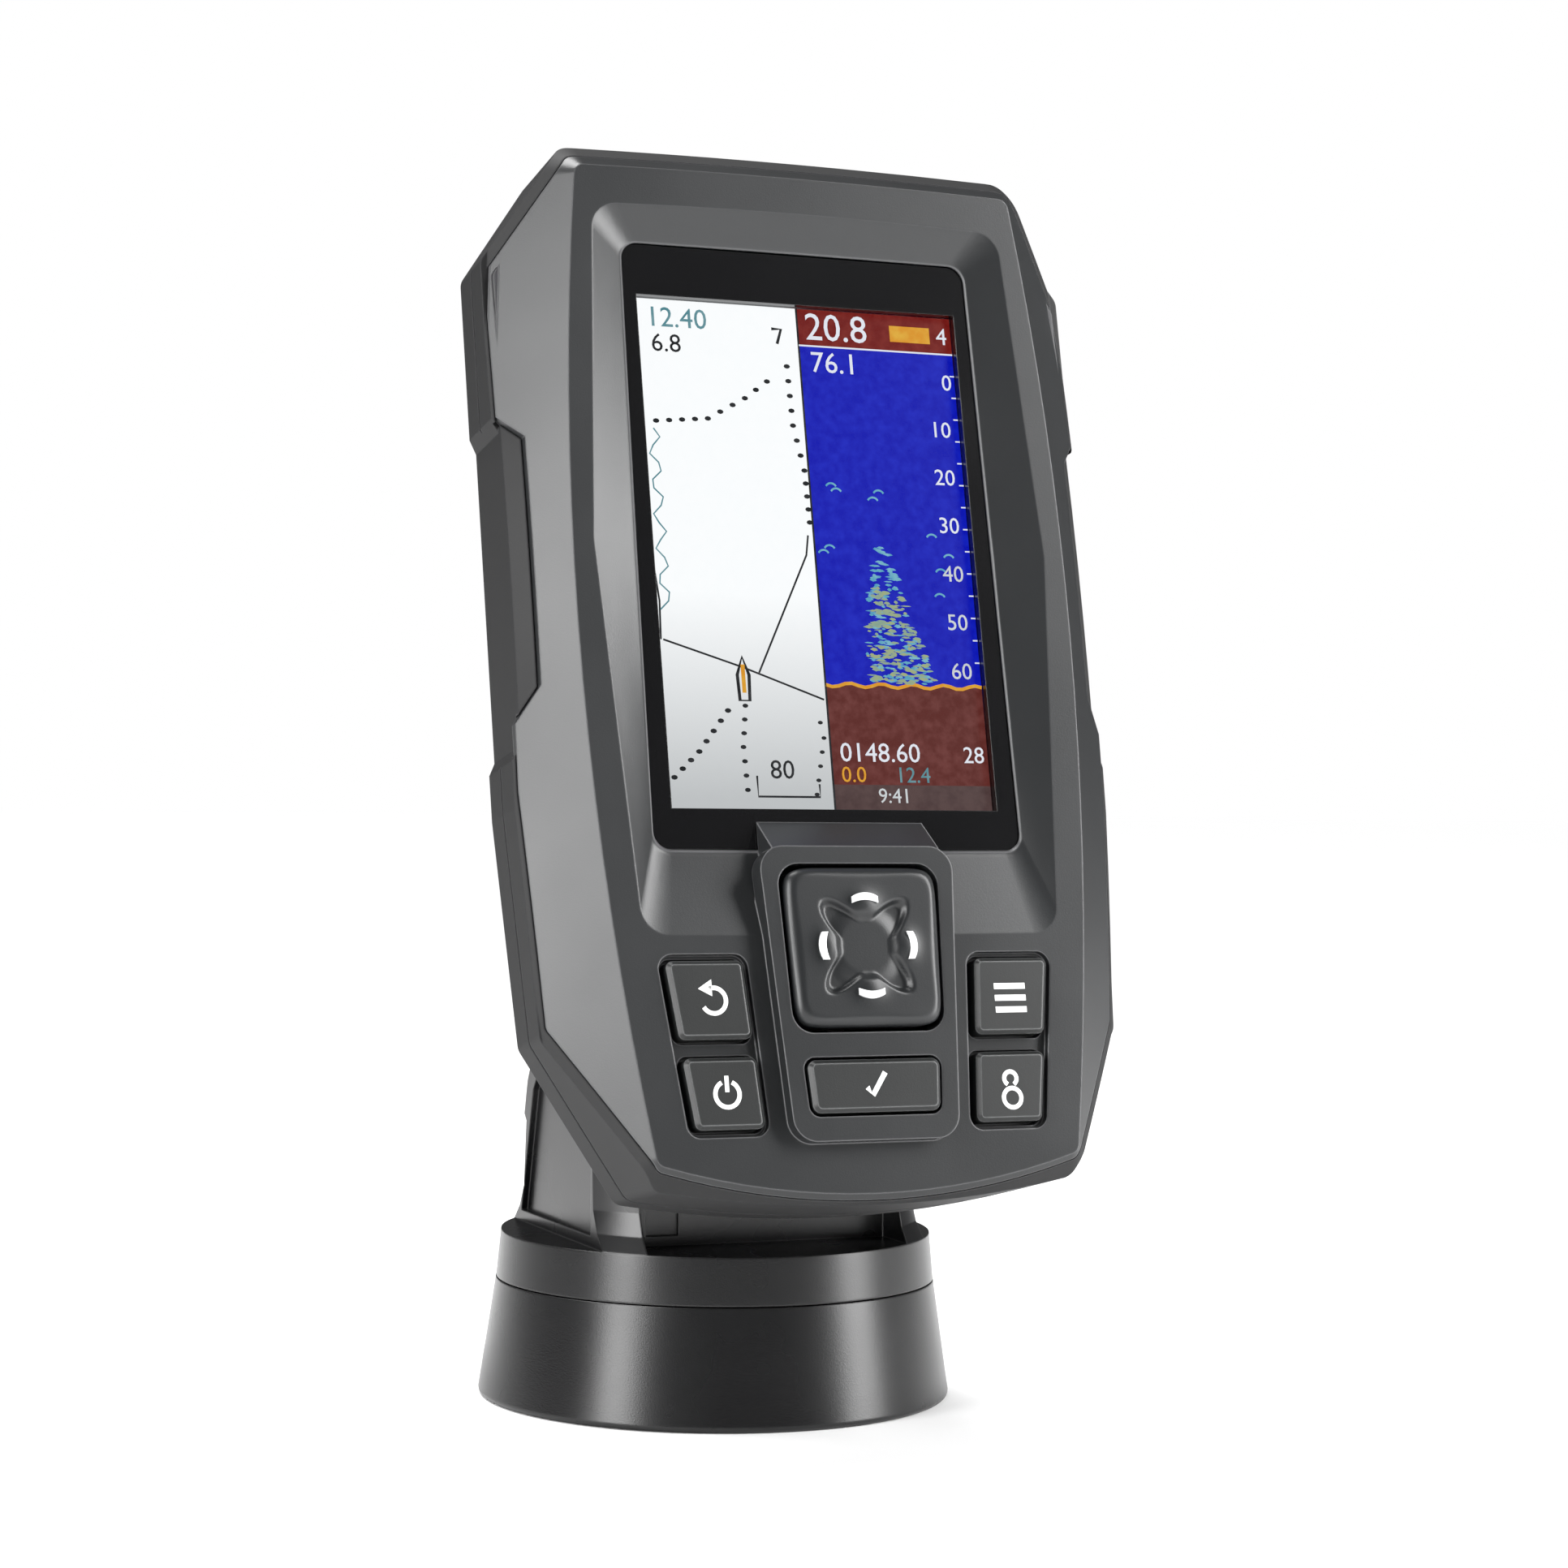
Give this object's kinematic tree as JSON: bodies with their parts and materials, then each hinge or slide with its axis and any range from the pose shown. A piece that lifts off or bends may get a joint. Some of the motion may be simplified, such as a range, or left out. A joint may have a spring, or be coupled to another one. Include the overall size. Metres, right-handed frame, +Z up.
{
  "type": "fish finder",
  "caption": "Portable fish finder: an upright keypad and display head that tilts between two arms on a round swivelling base.",
  "frame": {"origin": "centre of the base's underside, on the swivel axis", "axes": "+Z up along the swivel axis, +X to the user's right, +Y away from the user"},
  "size_m": [0.091, 0.0945, 0.1821],
  "materials": {
    "shell_plastic": "fine textured dark grey plastic",
    "housing_plastic": "fine textured black plastic",
    "stand_plastic": "satin black plastic",
    "detent_plastic": "natural acetal",
    "key_rubber": "soft black silicone with pale legends",
    "mat_rubber": "grey silicone",
    "lens": "clear cover lens with a glossy black printed border",
    "screen": "colour display, lit",
    "backlight_plastic": "white moulded plastic",
    "sheet_steel": "stamped sheet steel",
    "screw_steel": "stainless steel",
    "washer_plastic": "natural nylon",
    "board_green": "green solder mask",
    "component_black": "moulded component bodies",
    "capacitor_can": "aluminium can",
    "antenna_ceramic": "tan ceramic",
    "contact_brass": "gold-plated contact",
    "ribbon_film": "amber polyimide film"
  },
  "bodies": {
    "base": {"swivel_base": "stand_plastic", "detent_ring": "detent_plastic", "swivel_washer": "screw_steel", "swivel_screw": "screw_steel"},
    "cradle": {"swivel_cradle": "stand_plastic", "detent_spring": "sheet_steel"},
    "head": {"beeper": "component_black", "board_screws": "screw_steel", "bracket_screws": "screw_steel", "capacitors": "capacitor_can", "case_screws": "screw_steel", "display_lens": "lens", "flash_memory": "component_black", "friction_washer_left": "washer_plastic", "friction_washer_right": "washer_plastic", "front_shell": "shell_plastic", "gps_antenna": "antenna_ceramic", "housing_seal": "mat_rubber", "inlet_body": "housing_plastic", "inlet_nut": "housing_plastic", "inlet_pins": "contact_brass", "inlet_ribbon": "ribbon_film", "key_domes": "sheet_steel", "keypad_mat": "mat_rubber", "lcd_backlight": "backlight_plastic", "lcd_bracket": "sheet_steel", "lcd_flex": "ribbon_film", "lcd_panel": "screen", "lens_gasket": "mat_rubber", "main_board": "board_green", "power_inductor": "component_black", "pressure_vent": "component_black", "processor_shield": "sheet_steel", "rear_housing": "housing_plastic", "ribbon_socket": "component_black", "sonar_transformer": "component_black", "tilt_stud_left": "screw_steel", "tilt_stud_right": "screw_steel"},
    "menu_key": {"menu_key": "key_rubber"},
    "mark_key": {"mark_key": "key_rubber"},
    "back_key": {"back_key": "key_rubber"},
    "power_key": {"power_key": "key_rubber"},
    "ok_key": {"ok_key": "key_rubber"},
    "dpad_plate": {"dpad_plate": "backlight_plastic"},
    "dpad_cap": {"dpad_cap": "key_rubber"}
  },
  "joints": [
    {"name": "base_swivel", "type": "hinge", "parent": "base", "child": "cradle", "pos_m": [0, 0, 0.02], "axis": [0, 0, 1], "continuous": true},
    {"name": "head_tilt", "type": "hinge", "parent": "cradle", "child": "head", "pos_m": [0, -0.01574, 0.06213], "axis": [-1, 0, 0], "range_deg": [-12, 20]},
    {"name": "menu_press", "type": "slide", "parent": "head", "child": "menu_key", "axis": [0, 0.9745, -0.2244], "range_m": [0, 0.0008], "stiffness_N_per_m": 800, "springref_m": -0.0005},
    {"name": "mark_press", "type": "slide", "parent": "head", "child": "mark_key", "axis": [0, 0.9745, -0.2244], "range_m": [0, 0.0008], "stiffness_N_per_m": 800, "springref_m": -0.0005},
    {"name": "back_press", "type": "slide", "parent": "head", "child": "back_key", "axis": [0, 0.9745, -0.2244], "range_m": [0, 0.0008], "stiffness_N_per_m": 800, "springref_m": -0.0005},
    {"name": "power_press", "type": "slide", "parent": "head", "child": "power_key", "axis": [0, 0.9745, -0.2244], "range_m": [0, 0.0008], "stiffness_N_per_m": 800, "springref_m": -0.0005},
    {"name": "ok_press", "type": "slide", "parent": "head", "child": "ok_key", "axis": [0, 0.9745, -0.2244], "range_m": [0, 0.0008], "stiffness_N_per_m": 800, "springref_m": -0.0005},
    {"name": "dpad_rock_up_down", "type": "hinge", "parent": "head", "child": "dpad_plate", "pos_m": [0, -0.04715, 0.06834], "axis": [1, 0, 0], "range_deg": [-2.5, 2.5], "stiffness_Nm_per_rad": 0.35},
    {"name": "dpad_rock_left_right", "type": "hinge", "parent": "dpad_plate", "child": "dpad_cap", "pos_m": [0, -0.04715, 0.06834], "axis": [0, 0.2244, 0.9745], "range_deg": [-2.5, 2.5], "stiffness_Nm_per_rad": 0.35}
  ]
}
